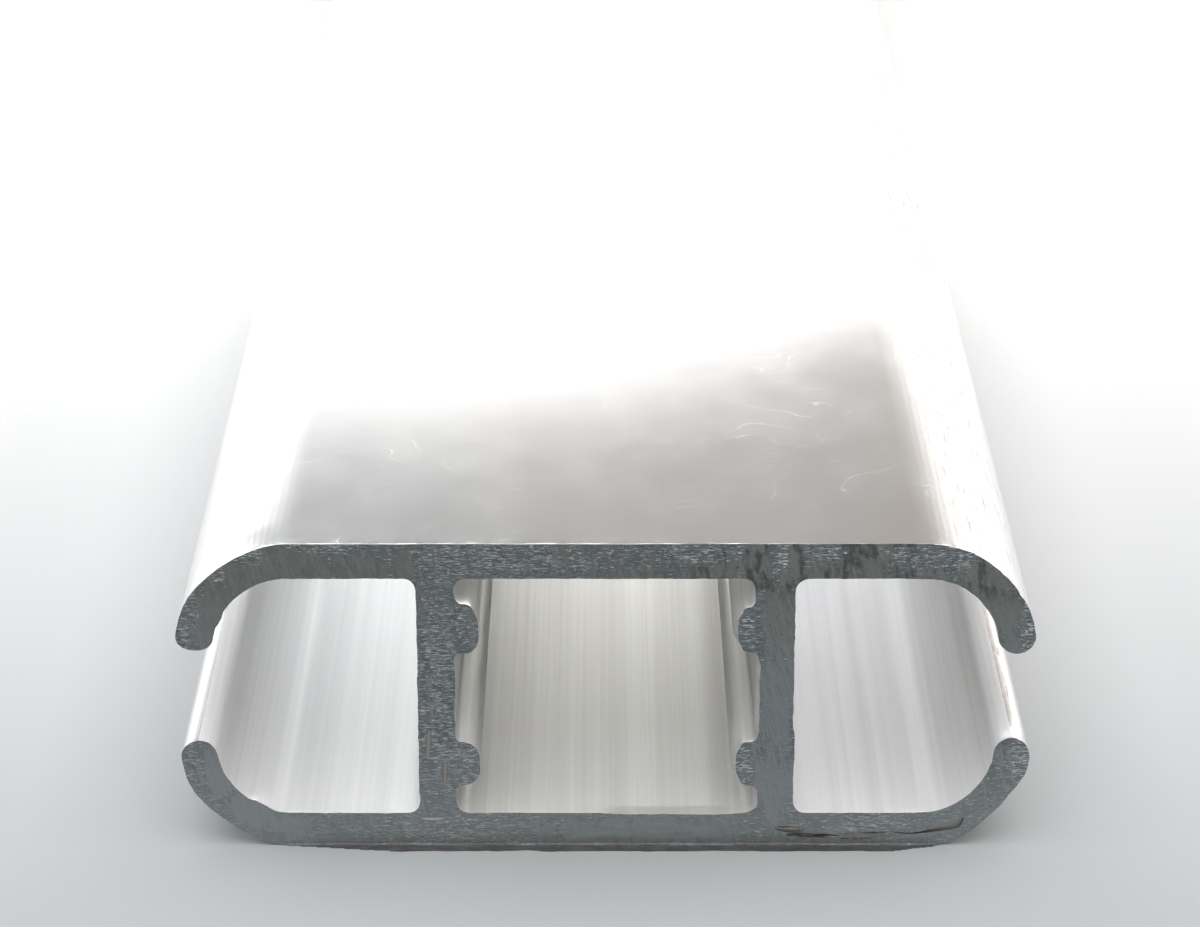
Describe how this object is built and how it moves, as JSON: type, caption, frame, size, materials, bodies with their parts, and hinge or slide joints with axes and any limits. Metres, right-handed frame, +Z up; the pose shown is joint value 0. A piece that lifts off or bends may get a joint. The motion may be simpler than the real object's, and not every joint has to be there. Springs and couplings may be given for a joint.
{
  "type": "aluminium extrusion profile",
  "caption": "Flat aluminium extrusion bar with a closed ribbed centre chamber and an open lipped channel along each rounded side.",
  "frame": {"origin": "middle of the bottom face, halfway along the bar", "axes": "+Y along the bar, away from the end that the camera sees; +X across the section towards one side channel; +Z up from the bottom face"},
  "size_m": [0.046, 1, 0.018],
  "materials": {
    "mill_finish_aluminium": "mill finish with lengthwise die lines, saw-cut ends"
  },
  "bodies": {
    "root": {"profile": "mill_finish_aluminium"}
  },
  "joints": []
}
